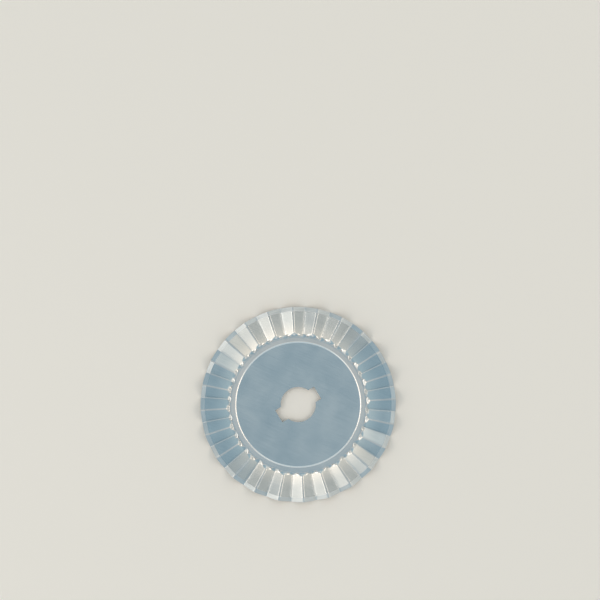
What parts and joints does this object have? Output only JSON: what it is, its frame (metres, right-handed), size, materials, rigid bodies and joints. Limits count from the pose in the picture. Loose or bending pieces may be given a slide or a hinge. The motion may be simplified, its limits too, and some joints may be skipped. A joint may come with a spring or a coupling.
{
  "type": "zigzag rotary cutter blade",
  "caption": "Thin steel disc blade for a rotary cutter: flat centre with a keyed hole and a fluted zigzag rim, ground sharp, that cuts cloth with a pinked edge.",
  "frame": {"origin": "on the blade's axis, level with the undersides of the flutes that it lies on", "axes": "+Z along the axis, out of the face seen in the picture; +X to the right and +Y up as in the picture"},
  "size_m": [0.045, 0.045, 0.002],
  "materials": {
    "blade_steel": "fine satin grind with a brighter ground edge"
  },
  "bodies": {
    "root": {"blade": "blade_steel"}
  },
  "joints": []
}
